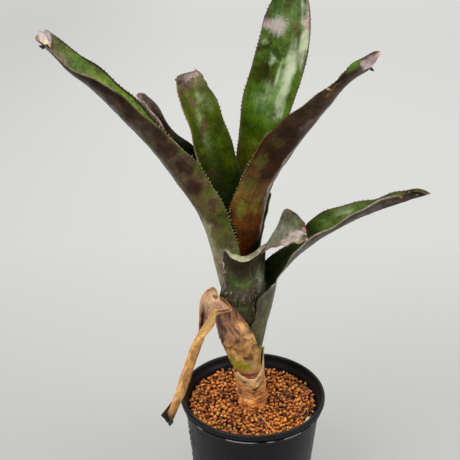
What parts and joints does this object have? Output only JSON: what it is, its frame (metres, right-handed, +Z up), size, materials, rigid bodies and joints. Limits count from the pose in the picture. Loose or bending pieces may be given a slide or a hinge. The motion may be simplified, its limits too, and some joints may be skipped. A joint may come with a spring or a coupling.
{
  "type": "potted canistrum",
  "caption": "Tank bromeliad with arching, spine-edged, mottled strap leaves and a dry folded leaf, growing from a short stem in a round nursery pot of clay granules.",
  "frame": {"origin": "centre of the pot's flat underside, where it rests on the floor", "axes": "+Z up along the pot's axis; -Y towards the plant's front; +X towards the lower arching leaf on the right"},
  "size_m": [0.2425, 0.1165, 0.3813],
  "materials": {
    "pot_plastic": "charcoal black, semi-matte, moulded, with water droplets",
    "clay_granules": "rough orange-brown baked clay granules of 3 to 4 mm",
    "stem_fibre": "fibrous tan stump ringed with leaf scars",
    "dry_leaf": "dead leaf, papery tan with purple-brown wrinkles",
    "green_leaf": "waxy green with dark purple-brown cloudy mottling and pale spined margins",
    "purple_leaf": "purple-brown and olive mottling under a pale grey scurf, spined margins",
    "grey_sheath": "grey-green sheath with pale scurf and a torn cream edge"
  },
  "bodies": {
    "root": {"pot": "pot_plastic", "substrate": "clay_granules", "stem": "stem_fibre", "sheath_fibres": "stem_fibre", "leaf_dead": "dry_leaf", "leaf_cut_right": "grey_sheath", "leaf_torn_front": "grey_sheath", "leaf_right_lower": "green_leaf", "leaf_left_back": "purple_leaf", "leaf_left_long": "purple_leaf", "leaf_centre_back": "green_leaf", "leaf_centre_left": "green_leaf", "leaf_short_back": "green_leaf", "leaf_right_upper": "purple_leaf"}
  },
  "joints": []
}
